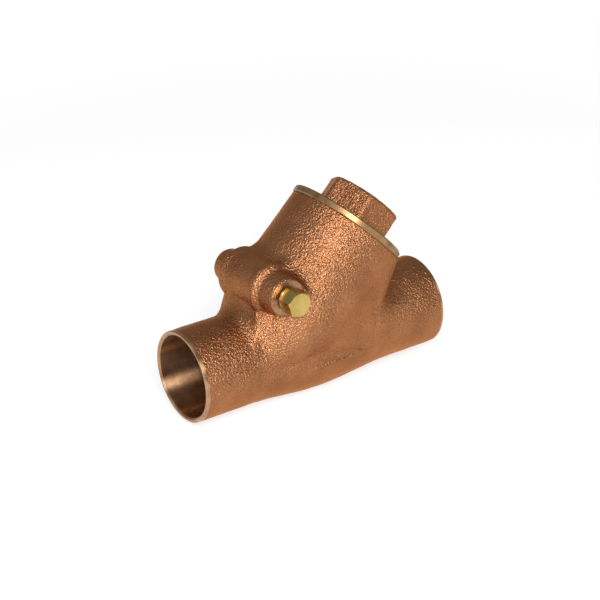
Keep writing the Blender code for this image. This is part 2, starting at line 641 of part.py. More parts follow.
def make_hanger(finish, pivot):
    """An eye on the pin, a ribbed arm and a round pad over the disc, bored for pin and stud."""
    to_stud = Vector((PIN_OFFSET, 0, -PIN_HEIGHT))
    half_eye = HANGER_EYE_WIDTH / 2
    eye = turned(rod_profile(EYE_RADIUS, -half_eye, half_eye), MIDDLE_STEPS, ALONG_MINUS_Y)
    hanger = add("hanger", eye, finish, pivot)
    low, high = PAD_BOTTOM - PIN_HEIGHT, PAD_TOP - PIN_HEIGHT
    inset = HANGER_PAD_THICKNESS / 8
    arm_reach, rib_reach = PIN_OFFSET - STUD_RADIUS, PIN_OFFSET - HANGER_WASHER_RADIUS - STUD_GAP
    arm = tapered_bar(
        0,
        arm_reach,
        HANGER_ARM_WIDTH / 2,
        HANGER_ARM_WIDTH / 2,
        (EYE_RADIUS * 0.2, EYE_RADIUS * 0.5),
        (low + inset, high - inset),
    )
    rib = tapered_bar(
        0,
        rib_reach,
        HANGER_RIB_WIDTH / 2,
        HANGER_RIB_WIDTH / 2,
        (EYE_RADIUS * 0.3, EYE_RADIUS * 0.58),
        (low + 2 * inset, high + HANGER_RIB_HEIGHT / 4),
    )
    pad = turned(rod_profile(HANGER_PAD_RADIUS, PAD_BOTTOM, PAD_TOP), MIDDLE_STEPS, Matrix.Translation(to_stud))
    for name, solid in {"hanger_arm": arm, "hanger_rib": rib, "hanger_pad": pad}.items():
        tool = helper(name, solid)
        tool.parent = pivot
        boolean(hanger, tool, "UNION")
    beyond = HANGER_EYE_WIDTH
    bores = {
        "eye_bore": turned(rod_profile(PIN_RADIUS + EYE_GAP, -beyond, beyond), SMALL_STEPS, ALONG_MINUS_Y),
        "stud_bore": turned(
            rod_profile(STUD_RADIUS + STUD_GAP, PAD_BOTTOM - beyond, PAD_TOP + beyond),
            SMALL_STEPS,
            Matrix.Translation(to_stud),
        ),
    }
    for name, solid in bores.items():
        tool = helper(name, solid)
        tool.parent = pivot
        boolean(hanger, tool)
    return hanger


def make_disc_holder(finish, spin):
    """A turned cup that faces the seat, with a stud up through the hanger and a smaller one down."""
    rim_bottom = HOLDER_RECESS - HOLDER_RIM_DEPTH
    recess = SEAT_DISC_RADIUS + SEAT_GAP
    outline = [
        (0, LOWER_STUD_END),
        (LOWER_STUD_RADIUS - SEAT_GAP * 4, LOWER_STUD_END),
        (LOWER_STUD_RADIUS, LOWER_STUD_END + SEAT_GAP * 4),
        (LOWER_STUD_RADIUS, HOLDER_RECESS),
        (recess, HOLDER_RECESS),
        (recess, rim_bottom),
        (HOLDER_RADIUS, rim_bottom),
        (HOLDER_RADIUS, HOLDER_PLATE_TOP - HOLDER_PLATE * 0.4),
        (HOLDER_RADIUS - HOLDER_RIM_WALL * 0.6, HOLDER_PLATE_TOP),
        (HOLDER_HUB_RADIUS + HOLDER_DOME, HOLDER_PLATE_TOP + HOLDER_DOME * 0.25),
        (HOLDER_HUB_RADIUS, HOLDER_HUB_TOP),
        (STUD_RADIUS, HOLDER_HUB_TOP),
        (STUD_RADIUS, STUD_TOP - SEAT_GAP * 5),
        (STUD_RADIUS - SEAT_GAP * 5, STUD_TOP),
        (0, STUD_TOP),
    ]
    return add("disc_holder", turned(outline, BIG_STEPS), finish, spin)


def make_seat_disc(finish, spin):
    inner = LOWER_STUD_RADIUS + SEAT_GAP
    top = SEAT_DISC_BOTTOM + SEAT_DISC_THICKNESS
    return add("seat_disc", turned(washer_profile(inner, SEAT_DISC_RADIUS, SEAT_DISC_BOTTOM, top), BIG_STEPS), finish, spin)


def make_washer(name, finish, spin, inner, outer, bottom, thickness):
    return add(name, turned(washer_profile(inner, outer, bottom, bottom + thickness), SMALL_STEPS), finish, spin)


def make_nut(name, finish, spin, flats, bore, bottom, height):
    """A hexagon nut with chamfered corners on its upper face."""
    nut = add(name, hexagon(flats, bottom, bottom + height), finish, spin)
    corner = flats / math.sqrt(3)
    drop = (corner * 1.05 - flats / 2) * math.tan(math.radians(30))
    crown = [
        (0, bottom - SEAT_GAP),
        (corner * 1.05, bottom - SEAT_GAP),
        (corner * 1.05, bottom + height - drop),
        (flats / 2 * 0.97, bottom + height + SEAT_GAP / 2),
        (0, bottom + height + SEAT_GAP / 2),
    ]
    for tool_name, solid, operation in (
        (f"{name}_crown", turned(crown, SMALL_STEPS), "INTERSECT"),
        (f"{name}_bore", turned(rod_profile(bore, bottom - height, bottom + 2 * height), SMALL_STEPS), "DIFFERENCE"),
    ):
        tool = helper(tool_name, solid)
        tool.parent = spin
        boolean(nut, tool, operation)
    return nut


def main():
    for old in list(bpy.data.objects):
        bpy.data.objects.remove(old, do_unlink=True)
    cast_bronze = material("cast_bronze", (0.48, 0.24, 0.12), 0.42, 1.0)
    brass = material("brass", (0.72, 0.52, 0.2), 0.25, 1.0)
    pin_bronze = material("pin_bronze", (0.62, 0.4, 0.2), 0.25, 1.0)
    soft_white = material("soft_white", (0.86, 0.86, 0.83), 0.45, 0.0)
    fibre = material("fibre", (0.09, 0.085, 0.08), 0.8, 0.0)

    branch = empty("branch_frame", BRANCH)
    pivot = empty("hinge_pivot", Matrix.Translation(PIN_CENTRE), branch)
    spin = empty("stud_axis", Matrix.Identity(4), branch)

    make_body(cast_bronze)
    make_cap(cast_bronze, branch)
    make_cap_gasket(fibre, branch)
    make_hinge_pin(pin_bronze, pivot)
    make_plug(brass, pivot)
    make_plug_gasket(fibre, pivot)
    make_hanger(cast_bronze, pivot)
    make_disc_holder(cast_bronze, spin)
    make_seat_disc(soft_white, spin)
    make_washer(
        "seat_disc_washer", brass, spin, LOWER_STUD_RADIUS + THREAD_GAP, SEAT_DISC_WASHER_RADIUS,
        SEAT_DISC_WASHER_BOTTOM, SEAT_DISC_WASHER_THICKNESS,
    )
    make_nut(
        "seat_disc_nut", brass, spin, SEAT_DISC_NUT_FLATS, LOWER_STUD_RADIUS + THREAD_GAP,
        SEAT_DISC_NUT_BOTTOM, SEAT_DISC_NUT_HEIGHT,
    )
    make_washer(
        "hanger_washer", brass, spin, STUD_RADIUS + THREAD_GAP, HANGER_WASHER_RADIUS,
        HANGER_WASHER_BOTTOM, HANGER_WASHER_THICKNESS,
    )
    make_nut(
        "hanger_nut", brass, spin, HANGER_NUT_FLATS, STUD_RADIUS + THREAD_GAP,
        HANGER_NUT_BOTTOM, HANGER_NUT_HEIGHT,
    )


main()
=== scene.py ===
"""The bronze swing check valve, dressed: cast skin, turned faces, brass plug, studio and camera."""

import math

import bmesh
import bpy
import numpy as np
from mathutils import Matrix, Vector, noise


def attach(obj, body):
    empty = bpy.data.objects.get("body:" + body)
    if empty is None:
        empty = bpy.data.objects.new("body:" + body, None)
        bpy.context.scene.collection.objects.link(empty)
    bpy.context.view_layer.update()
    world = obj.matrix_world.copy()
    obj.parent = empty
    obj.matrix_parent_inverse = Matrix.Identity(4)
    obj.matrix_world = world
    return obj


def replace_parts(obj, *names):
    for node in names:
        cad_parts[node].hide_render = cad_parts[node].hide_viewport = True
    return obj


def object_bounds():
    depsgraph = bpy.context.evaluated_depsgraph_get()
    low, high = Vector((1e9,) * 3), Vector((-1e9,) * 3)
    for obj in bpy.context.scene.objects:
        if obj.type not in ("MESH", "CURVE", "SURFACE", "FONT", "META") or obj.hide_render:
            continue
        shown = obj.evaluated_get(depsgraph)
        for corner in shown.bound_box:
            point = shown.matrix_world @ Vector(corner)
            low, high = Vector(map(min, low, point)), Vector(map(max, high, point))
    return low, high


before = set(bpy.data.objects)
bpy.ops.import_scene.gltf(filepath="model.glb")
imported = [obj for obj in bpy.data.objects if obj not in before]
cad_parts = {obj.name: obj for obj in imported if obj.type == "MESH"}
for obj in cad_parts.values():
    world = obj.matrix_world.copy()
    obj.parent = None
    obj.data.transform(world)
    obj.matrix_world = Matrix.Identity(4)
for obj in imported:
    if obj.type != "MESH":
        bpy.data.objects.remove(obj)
CAD_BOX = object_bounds()

MM = 0.001
TURN = 2 * math.pi

# Sizes shared with the solids
HALF_RUN = 49.3 * MM
SOCKET_BORE_RADIUS = 14.35 * MM
SOCKET_DEPTH = 23.1 * MM
SOCKET_CHAMFER = 0.5 * MM
TUBE_RADIUS = 15.9 * MM
WATERWAY_RADIUS = 13.0 * MM
BELLY_RADIUS = 17.7 * MM
BELLY_CREST_X = -1.0 * MM
BELLY_UPSTREAM = 27.0 * MM
BELLY_DOWNSTREAM = 31.0 * MM
BRANCH_ANGLE = math.radians(45)
BRANCH_FOOT_X = -17.7 * MM
SEAT_HEIGHT = 13.8 * MM
SEAT_BORE_RADIUS = 11.4 * MM
SEAT_LAND = 1.7 * MM
WEB_TOP = 13.0 * MM
WEB_UNDERSIDE = 9.3 * MM
THROAT_INSET = 0.3 * MM
CHAMBER_RADIUS = 17.49 * MM
NECK_RADIUS = 20.69 * MM
NECK_DRAFT = 1.2 * MM
NECK_UPSTREAM = -26.0 * MM
NECK_DOWNSTREAM = 16.5 * MM
RUN_INSET = 1.4 * MM
NECK_TOP = 51.1 * MM
PIN_OFFSET = 18.595 * MM
PIN_HEIGHT = 18.205 * MM
POCKET_RADIUS = 6.02 * MM
POCKET_HALF = 7.9 * MM
PIN_HOLE_RADIUS = 2.1 * MM
PLUG_HOLE_RADIUS = 3.35 * MM
PLUG_HOLE_DEPTH = 5.8 * MM
PIN_END_WALL = 3.6 * MM

# Hinge boss, from its middle outwards
BOSS_HALF_LENGTH = 18.1 * MM
BOSS_CAST_NEAR_END = 18.433 * MM
BOSS_FACED_RADIUS = 6.25 * MM
BOSS_NEAR_OUTLINE = (
    (0.0 * MM, 8.5 * MM),
    (6.4 * MM, 8.5 * MM),
    (9.0 * MM, 9.3 * MM),
    (10.467 * MM, 8.75 * MM),
    (11.2 * MM, 7.4 * MM),
    (BOSS_CAST_NEAR_END, 6.5 * MM),
)
BOSS_BLIND_OUTLINE = BOSS_NEAR_OUTLINE[:4] + ((11.2 * MM, 6.6 * MM), (BOSS_HALF_LENGTH, 5.7 * MM))
BOSS_WALL_CORE = 5.9 * MM
BOSS_WALL_HALF = 8.0 * MM
BOSS_WALL_UPSTREAM = -27.4 * MM
BOSS_WALL_DOWNSTREAM = -12.0 * MM
BOSS_END_ROUND = 1.6 * MM

# Raised flow arrow on the near side of the run
ARROW_START = -6.7 * MM
ARROW_END = 14.5 * MM
ARROW_HEAD = 5.0 * MM
ARROW_HALF_WIDTH = 0.55 * MM
ARROW_HEAD_HALF_WIDTH = 2.0 * MM
ARROW_RAISE = 0.36 * MM
ARROW_FLANK_IN = 0.35 * MM
ARROW_FLANK_OUT = 0.5 * MM
ARROW_BEARING = math.radians(-11.6)
ARROW_MESH_CUTS = 4

# Cap
CAP_THREAD_RADIUS = 16.59 * MM
CAP_THREAD_PITCH = 1.8 * MM
CAP_THREAD_DEPTH = 0.55 * MM
CAP_SPIGOT_BOTTOM = 41.8 * MM
CAP_BORE_RADIUS = 12.99 * MM
CAP_HOLLOW_TOP = 52.0 * MM
CAP_HOLLOW_DOME = 1.6 * MM
CAP_RECESS_RADIUS = 18.74 * MM
CAP_RECESS_DEPTH = 0.9 * MM
CAP_FLANGE_BOTTOM = 51.25 * MM
CAP_FLANGE_TOP = 53.7 * MM
CAP_FLANGE_RADIUS = 21.19 * MM
CAP_HEX_FLATS = 24.5 * MM
CAP_HEX_TOP = 63.8 * MM
CAP_HEX_TURN = math.radians(56.7)
CAP_HEX_OFFSET = (0.2 * MM, -0.5 * MM)
CAP_HEX_ROUND = 0.9 * MM
CAP_CROWN_FALL = 1.1 * MM
CAP_CROWN_START = CAP_HEX_FLATS * 0.38
CAP_CROWN_END = CAP_HEX_FLATS * 0.66

# Plug
PLUG_THREAD_RADIUS = 3.2 * MM
PLUG_THREAD_LENGTH = 5.6 * MM
PLUG_SEAT = 18.7 * MM
PLUG_COLLAR_RADIUS = 4.05 * MM
PLUG_COLLAR_LENGTH = 0.9 * MM
PLUG_HEX_FLATS = 7.94 * MM
PLUG_HEX_LENGTH = 5.6 * MM
PLUG_HEX_TURN = math.radians(29.8)

# Fillets of the casting, as the reach over which two forms blend
CROTCH_TOP = 2.5 * MM
CROTCH_SIDE = 13.0 * MM
CROTCH_UNDER = 1.5 * MM
NECK_BACK_FILLET = 3.5 * MM
BOSS_WALL_FILLET = 4.5 * MM
BOSS_TOP_FILLET = 4.5 * MM
BOSS_UNDER_FILLET = 0.7 * MM
BOSS_TOP_RISE = 6.0 * MM
FILLET_GAIN = 1.4
LEAST_FILLET = 0.05 * MM
NORMALS_BLEND = 6.0 * MM

# Between which heights, and which places along the run, one fillet gives way to another
CROTCH_SIDE_HEIGHTS = (-5.0 * MM, 4.0 * MM)
CROTCH_TOP_HEIGHTS = (7.0 * MM, 15.0 * MM)
UPPER_HEIGHTS = (0.0 * MM, 6.0 * MM)
WALL_STATIONS = (-34.0 * MM, -29.0 * MM)
CROTCH_STATIONS = (-8.0 * MM, 8.0 * MM)

# Cast skin
CAST_ALLOWANCE = 4.0 * MM
SKIN_VOXEL = 0.6 * MM
CAP_VOXEL = 0.4 * MM
FINE_STEPS = 192
HULL_STEPS = 128
FACE_TOLERANCE = 0.03 * MM
INSIDE_DEPTH = 0.45 * MM
CHUNK = 8192

# Unevenness of the castings, as its size and height
BODY_WAVER = (5.0 * MM, 0.09 * MM)
CAP_WAVER = (3.0 * MM, 0.12 * MM)

# The body's finishes, as places in its list of materials
AS_CAST, TURNED_ROUND_RUN, TURNED_ROUND_NECK, TURNED_ROUND_PIN, AS_CORED = range(5)

# Camera found from the photograph, with the origin's place in it in pixels
IMAGE_WIDTH = 600
FOCAL_PIXELS = 1800
CAMERA_AZIMUTH = math.radians(34.39)
CAMERA_ELEVATION = math.radians(25.75)
CAMERA_ROLL = math.radians(2.12)
CAMERA_DISTANCE = 0.6194
ORIGIN_PIXEL = (303.47, 336.06)
SENSOR_WIDTH_MM = 36

# Studio: the floor's glow for the camera grows with distance, and the world is dimmer to the metal
FLOOR_HALF = 4.0
FLOOR_GLOW = 0.68
FLOOR_NEAR = 0.3
FLOOR_FAR = 1.0
WORLD_IN_METAL = 0.34

# Lamps, as place, size and power in watts
KEY_LAMP = ((-0.38, -0.67, 0.47), (0.35, 0.35), 8.0)
UPPER_LEFT_LAMP = ((-0.6, 0.1, 0.67), (0.4, 0.4), 0.3)
LAMPS_AIM = (0, 0, 0.015)

ALONG_X = Matrix.Rotation(TURN / 4, 4, "Y")
ALONG_MINUS_X = Matrix.Rotation(-TURN / 4, 4, "Y")
ALONG_MINUS_Y = Matrix.Rotation(TURN / 4, 4, "X")


def branch_matrix():
    lean, rise = math.cos(BRANCH_ANGLE), math.sin(BRANCH_ANGLE)
    matrix = Matrix(((rise, 0, -lean), (0, 1, 0), (lean, 0, rise))).transposed().to_4x4()
    matrix.translation = (BRANCH_FOOT_X, 0, 0)
    return matrix


BRANCH = branch_matrix()
PIVOT = BRANCH @ Matrix.Translation((-PIN_OFFSET, 0, PIN_HEIGHT)) @ ALONG_MINUS_Y


# Mesh tools


def turned(profile, steps, matrix=None):
    """A bmesh turned about local Z from (radius, height) points that start and end on the axis."""
    solid = bmesh.new()
    points = [solid.verts.new((radius, 0, height)) for radius, height in profile]
    edges = [solid.edges.new(pair) for pair in zip(points, points[1:])]
    bmesh.ops.spin(
        solid, geom=points + edges, cent=(0, 0, 0), axis=(0, 0, 1), angle=TURN, steps=steps, use_merge=True
    )
    bmesh.ops.remove_doubles(solid, verts=solid.verts, dist=1e-7)
    bmesh.ops.recalc_face_normals(solid, faces=solid.faces)
    if matrix is not None:
        bmesh.ops.transform(solid, matrix=matrix, verts=solid.verts)
    return solid


def hexagon(flats, bottom, top, turn=0.0):
    solid = bmesh.new()
    corner = flats / math.sqrt(3)
    angles = [turn + k * TURN / 6 for k in range(6)]
    places = [(corner * math.cos(a), corner * math.sin(a), bottom) for a in angles]
    base = solid.faces.new([solid.verts.new(place) for place in places])
    raised = bmesh.ops.extrude_face_region(solid, geom=[base])["geom"]
    verts = [item for item in raised if isinstance(item, bmesh.types.BMVert)]
    bmesh.ops.translate(solid, vec=(0, 0, top - bottom), verts=verts)
    bmesh.ops.recalc_face_normals(solid, faces=solid.faces)
    return solid


def ring_points(radius, height, steps, matrix):
    angles = [k * TURN / steps for k in range(steps)]
    return [matrix @ Vector((radius * math.cos(a), radius * math.sin(a), height)) for a in angles]


def hull(points):
    solid = bmesh.new()
    verts = [solid.verts.new(point) for point in points]
    found = bmesh.ops.convex_hull(solid, input=verts)
    left_over = found["geom_interior"] + found["geom_unused"]
    spare = {item for item in left_over if isinstance(item, bmesh.types.BMVert)}
    bmesh.ops.delete(solid, geom=list(spare), context="VERTS")
    bmesh.ops.recalc_face_normals(solid, faces=solid.faces)
    return solid


def keep_side(solid, point, normal):
    geom = solid.verts[:] + solid.edges[:] + solid.faces[:]
    cut = bmesh.ops.bisect_plane(
        solid, geom=geom, plane_co=point, plane_no=normal, clear_outer=True, dist=1e-7
    )
    rim = [item for item in cut["geom_cut"] if isinstance(item, bmesh.types.BMEdge)]
    bmesh.ops.contextual_create(solid, geom=rim)
    bmesh.ops.recalc_face_normals(solid, faces=solid.faces)
    return solid


def add(name, solid):
    mesh = bpy.data.meshes.new(name)
    solid.to_mesh(mesh)
    solid.free()
    made = bpy.data.objects.new(name, mesh)
    bpy.context.scene.collection.objects.link(made)
    return made


def joined(solids):
    whole = bmesh.new()
    for solid in solids:
        mesh = bpy.data.meshes.new("joining")
        solid.to_mesh(mesh)
        solid.free()
        whole.from_mesh(mesh)
        bpy.data.meshes.remove(mesh)
    return whole


def settle(made):
    """Applies the object's modifiers."""
    bpy.context.view_layer.update()
    result = bpy.data.meshes.new_from_object(made.evaluated_get(bpy.context.evaluated_depsgraph_get()))
    made.modifiers.clear()
    made.data = result
    result.name = made.name


def boolean(target, tool, operation="DIFFERENCE"):
    modifier = target.modifiers.new(operation.lower(), "BOOLEAN")
    modifier.operation = operation
    modifier.solver = "EXACT"
    modifier.object = tool
    settle(target)
    bpy.data.objects.remove(tool, do_unlink=True)


def shade(made, angle=32):
    made.data.shade_smooth()
    made.data.set_sharp_from_angle(angle=math.radians(angle))


def coordinates(mesh):
    flat = np.empty(len(mesh.vertices) * 3)
    mesh.vertices.foreach_get("co", flat)
    return flat.reshape(-1, 3)


def face_centres(mesh):
    flat = np.empty(len(mesh.polygons) * 3)
    mesh.polygons.foreach_get("center", flat)
    return flat.reshape(-1, 3)


def finished(mesh, finishes, index):
    """Gives the mesh its finishes, and each face the one that its index says."""
    mesh.materials.clear()
    for finish in finishes:
        mesh.materials.append(finish)
    mesh.polygons.foreach_set("material_index", index)


# Distance fields, by which the cast forms blend into each other


def smooth_union(a, b, reach):
    share = np.clip(1 - np.abs(a - b) / reach, 0, 1)
    return np.minimum(a, b) - share * share * reach / 4


def filleted(first, second, reach):
    """Joins two (distance, normal) fields. The fillet fades where the surfaces run side by side."""
    (a, a_normals), (b, b_normals) = first, second
    turn = np.sqrt(np.clip((1 - (a_normals * b_normals).sum(axis=1)) / 2, 0, 1))
    faded = np.maximum(reach * np.minimum(FILLET_GAIN * turn, 1), LEAST_FILLET)
    lean = np.clip(0.5 + (a - b) / NORMALS_BLEND, 0, 1)[:, None]
    normals = a_normals * (1 - lean) + b_normals * lean
    length = np.sqrt((normals**2).sum(axis=1))
    return smooth_union(a, b, faded), normals / np.maximum(length, 1e-6)[:, None]


def ease(value, low, high):
    share = np.clip((value - low) / (high - low), 0, 1)
    return share * share * (3 - 2 * share)


def run_radius(x):
    reach = np.where(x < BELLY_CREST_X, BELLY_UPSTREAM, BELLY_DOWNSTREAM)
    share = np.clip(np.abs(x - BELLY_CREST_X) / reach, 0, 1)
    return TUBE_RADIUS + (BELLY_RADIUS - TUBE_RADIUS) * (1 + np.cos(math.pi * share)) / 2


def to_branch(points):
    inverse = np.array(BRANCH.inverted())
    return points @ inverse[:3, :3].T + inverse[:3, 3]


def run_rings(stations):
    rings = [ring_points(float(run_radius(x)) - RUN_INSET, x, HULL_STEPS, ALONG_X) for x in stations]
    return [point for ring in rings for point in ring]


def neck_hull():
    """The neck with a little draft, and the swollen sides that carry it down to the run."""
    points = ring_points(NECK_RADIUS, NECK_TOP + CAST_ALLOWANCE, HULL_STEPS, BRANCH)
    points += ring_points(NECK_RADIUS + NECK_DRAFT, PIN_HEIGHT, HULL_STEPS, BRANCH)
    return hull(points + run_rings((NECK_UPSTREAM, NECK_DOWNSTREAM)))


def boss_wall_hull():
    """The steep wall that carries the hinge boss on the run."""
    points = ring_points(BOSS_WALL_CORE, -BOSS_WALL_HALF, HULL_STEPS, PIVOT)
    points += ring_points(BOSS_WALL_CORE, BOSS_WALL_HALF, HULL_STEPS, PIVOT)
    return hull(points + run_rings((BOSS_WALL_UPSTREAM, BOSS_WALL_DOWNSTREAM)))


def hull_planes(solid, low_end, high_end):
    """The hull as planes. Those that face along the run count only within the two limits of their slant."""
    solid.normal_update()
    planes = np.array([(*face.normal, face.normal.dot(face.verts[0].co)) for face in solid.faces])
    solid.free()
    counted = (planes[:, 0] > low_end) & (planes[:, 0] < high_end)
    return np.unique(planes[counted].round(7), axis=0).astype(np.float32)


ALONG_RUN = 0.999
NO_LIMIT = 2
NECK_PLANES = hull_planes(neck_hull(), -ALONG_RUN, ALONG_RUN)
BOSS_WALL_PLANES = hull_planes(boss_wall_hull(), -ALONG_RUN, NO_LIMIT)


def hull_field(points, planes):
    single = points.astype(np.float32)
    distances, nearest = [], []
    for start in range(0, len(single), CHUNK):
        depths = single[start : start + CHUNK] @ planes[:, :3].T - planes[:, 3]
        nearest.append(depths.argmax(axis=1))
        distances.append(depths.max(axis=1))
    return np.concatenate(distances).astype(float), planes[np.concatenate(nearest), :3].astype(float)


def softened(outline):
    """A turned outline as even stations with its corners eased."""
    spacing, width, window = 0.1 * MM, 5.0, 15
    stations = np.arange(0, 24 * MM, spacing)
    radii = np.interp(stations, *zip(*outline))
    weights = np.exp(-0.5 * (np.arange(-window, window + 1) / width) ** 2)
    padded = np.pad(radii, window, mode="edge")
    eased = np.convolve(padded, weights / weights.sum(), mode="valid")
    return stations, eased, np.gradient(eased, stations)


BOSS_NEAR = softened(BOSS_NEAR_OUTLINE)
BOSS_BLIND = softened(BOSS_BLIND_OUTLINE)


def boss_field(local, y):
    across = np.stack([local[:, 0] + PIN_OFFSET, local[:, 2] - PIN_HEIGHT], axis=1)
    reach = np.hypot(across[:, 0], across[:, 1])
    along = np.abs(y)
    fields = []
    for (stations, radii, slopes), end in ((BOSS_NEAR, BOSS_CAST_NEAR_END), (BOSS_BLIND, BOSS_HALF_LENGTH)):
        slant = np.hypot(1, np.interp(along, stations, slopes))
        radial = (reach - np.interp(along, stations, radii)) / slant
        fields.append(-smooth_union(-radial, end - along, BOSS_END_ROUND))
    unit = across / np.maximum(reach, 1e-6)[:, None]
    down, up = (np.array(BRANCH)[:3, axis] for axis in (0, 2))
    return np.where(y < 0, *fields), unit[:, :1] * down + unit[:, 1:] * up


def run_field(points):
    reach = np.hypot(points[:, 1], points[:, 2])
    normals = np.stack([np.zeros(len(points)), points[:, 1], points[:, 2]], axis=1)
    return reach - run_radius(points[:, 0]), normals / np.maximum(reach, 1e-6)[:, None]


def casting_distance(points):
    local = to_branch(points)
    height = points[:, 2]
    low_crotch = CROTCH_UNDER + (CROTCH_SIDE - CROTCH_UNDER) * ease(height, *CROTCH_SIDE_HEIGHTS)
    crotch = low_crotch - (low_crotch - CROTCH_TOP) * ease(height, *CROTCH_TOP_HEIGHTS)
    near_wall = ease(points[:, 0], *WALL_STATIONS)
    above = ease(height, *UPPER_HEIGHTS)
    wall_fillet = BOSS_WALL_FILLET * near_wall * above
    body = filleted(run_field(points), hull_field(points, BOSS_WALL_PLANES), wall_fillet)
    neck_back = NECK_BACK_FILLET * near_wall * above
    neck_fillet = neck_back + (crotch - neck_back) * ease(points[:, 0], *CROTCH_STATIONS)
    body = filleted(body, hull_field(points, NECK_PLANES), neck_fillet)
    upward = ease(local[:, 2], PIN_HEIGHT, PIN_HEIGHT + BOSS_TOP_RISE)
    boss_fillet = BOSS_UNDER_FILLET + (BOSS_TOP_FILLET - BOSS_UNDER_FILLET) * upward
    return filleted(body, boss_field(local, points[:, 1]), boss_fillet)[0]


def hex_distance(points):
    local = to_branch(points) - (*CAP_HEX_OFFSET, 0)
    angles = CAP_HEX_TURN + (np.arange(6) + 0.5) * TURN / 6
    sides = local[:, :1] * np.cos(angles) + local[:, 1:2] * np.sin(angles) - CAP_HEX_FLATS / 2
    sides.sort(axis=1)
    corner = -smooth_union(-sides[:, -1], -sides[:, -2], CAP_HEX_ROUND)
    fall = CAP_CROWN_FALL * ease(np.hypot(local[:, 0], local[:, 1]), CAP_CROWN_START, CAP_CROWN_END)
    crown = local[:, 2] - CAP_HEX_TOP + fall
    return -smooth_union(-corner, -crown, CAP_HEX_ROUND)


def onto(points, distance, rounds):
    """Moves points to where the distance field is zero."""
    step = 0.02 * MM
    for _ in range(rounds):
        here = distance(points)
        gradient = np.stack([(distance(points + step * axis) - here) / step for axis in np.eye(3)], axis=1)
        size = np.maximum((gradient**2).sum(axis=1), 0.25)
        points = points - gradient * (here / size)[:, None]
    return points


def relaxed(points, edges, rounds):
    count = np.bincount(edges.ravel(), minlength=len(points))[:, None]
    for _ in range(rounds):
        total = np.stack(
            [
                np.bincount(edges[:, 0], points[edges[:, 1], axis], len(points))
                + np.bincount(edges[:, 1], points[edges[:, 0], axis], len(points))
                for axis in range(3)
            ],
            axis=1,
        )
        points = points + 0.5 * (total / count - points)
    return points


def skinned(name, solid, voxel, distance):
    """A fine even skin over a rough solid, laid on the zero of a distance field."""
    made = add(name, solid)
    remesh = made.modifiers.new("skin", "REMESH")
    remesh.mode = "VOXEL"
    remesh.voxel_size = voxel
    settle(made)
    edges = np.empty(len(made.data.edges) * 2, int)
    made.data.edges.foreach_get("vertices", edges)
    edges = edges.reshape(-1, 2)
    points = onto(coordinates(made.data), distance, 3)
    for _ in range(3):
        points = onto(relaxed(points, edges, 3), distance, 2)
    made.data.vertices.foreach_set("co", points.ravel())
    made.data.update()
    return made


def waver(made, scale, height):
    """The slow unevenness of a sand casting, moved along the normals."""
    mesh = made.data
    points = coordinates(mesh)
    normals = np.empty(len(points) * 3)
    mesh.vertex_normals.foreach_get("vector", normals)
    normals = normals.reshape(-1, 3)
    amount = np.array([noise.fractal(Vector(point) / scale, 0.9, 2.1, 3) for point in points])
    mesh.vertices.foreach_set("co", (points + normals * (amount * height)[:, None]).ravel())
    mesh.update()


# Body


def run_rough():
    end = HALF_RUN + CAST_ALLOWANCE
    stations = np.linspace(-end, end, 40)
    outline = [(0, -end)] + [(float(run_radius(x)), float(x)) for x in stations] + [(0, end)]
    return turned(outline, FINE_STEPS // 2, ALONG_X)


def boss_rough():
    blind = [(radius, -along) for along, radius in reversed(BOSS_BLIND_OUTLINE)]
    near = [(radius, along) for along, radius in BOSS_NEAR_OUTLINE[1:]]
    outline = [(0, -BOSS_HALF_LENGTH)] + blind + near + [(0, BOSS_CAST_NEAR_END)]
    return turned(outline, FINE_STEPS // 2, PIVOT)


def end_facing(side):
    """Faces off one end of the run and breaks its outer corner."""
    far = 2 * HALF_RUN
    broken = 0.35 * MM
    outline = [
        (0, HALF_RUN),
        (TUBE_RADIUS - broken, HALF_RUN),
        (TUBE_RADIUS + 2 * broken, HALF_RUN - 3 * broken),
        (far, HALF_RUN - 3 * broken),
        (far, far),
        (0, far),
    ]
    flip = ALONG_X if side > 0 else ALONG_MINUS_X
    return turned(outline, FINE_STEPS, flip)


def neck_facing():
    wide = NECK_RADIUS + CAST_ALLOWANCE
    above = NECK_TOP + 2 * CAST_ALLOWANCE
    outline = [(0, NECK_TOP), (wide, NECK_TOP), (wide, above), (0, above)]
    return turned(outline, FINE_STEPS, BRANCH)


def boss_facing():
    wide, beyond = BOSS_FACED_RADIUS, BOSS_HALF_LENGTH + CAST_ALLOWANCE
    outline = [(0, BOSS_HALF_LENGTH), (wide, BOSS_HALF_LENGTH), (wide, beyond), (0, beyond)]
    return turned(outline, FINE_STEPS, PIVOT)


def socket_and_waterway(side):
    stop = HALF_RUN - SOCKET_DEPTH
    spread = SOCKET_CHAMFER + CAST_ALLOWANCE
    outline = [
        (0, -HALF_RUN),
        (WATERWAY_RADIUS, -HALF_RUN),
        (WATERWAY_RADIUS, stop),
        (SOCKET_BORE_RADIUS, stop),
        (SOCKET_BORE_RADIUS, HALF_RUN - SOCKET_CHAMFER),
        (SOCKET_BORE_RADIUS + spread, HALF_RUN + CAST_ALLOWANCE),
        (0, HALF_RUN + CAST_ALLOWANCE),
    ]
    flip = ALONG_X if side > 0 else ALONG_MINUS_X
    height, way = (WEB_TOP, -1) if side > 0 else (WEB_UNDERSIDE, 1)
    up = BRANCH.to_3x3() @ Vector((0, 0, way))
    return keep_side(turned(outline, FINE_STEPS, flip), BRANCH @ Vector((0, 0, height)), up)


def throat():
    start = -HALF_RUN + SOCKET_DEPTH - 0.2 * MM
    points = ring_points(WATERWAY_RADIUS - THROAT_INSET, start, FINE_STEPS, ALONG_X)
    points += ring_points(SEAT_BORE_RADIUS - THROAT_INSET, WEB_UNDERSIDE + THROAT_INSET, FINE_STEPS, BRANCH)
    return hull(points)


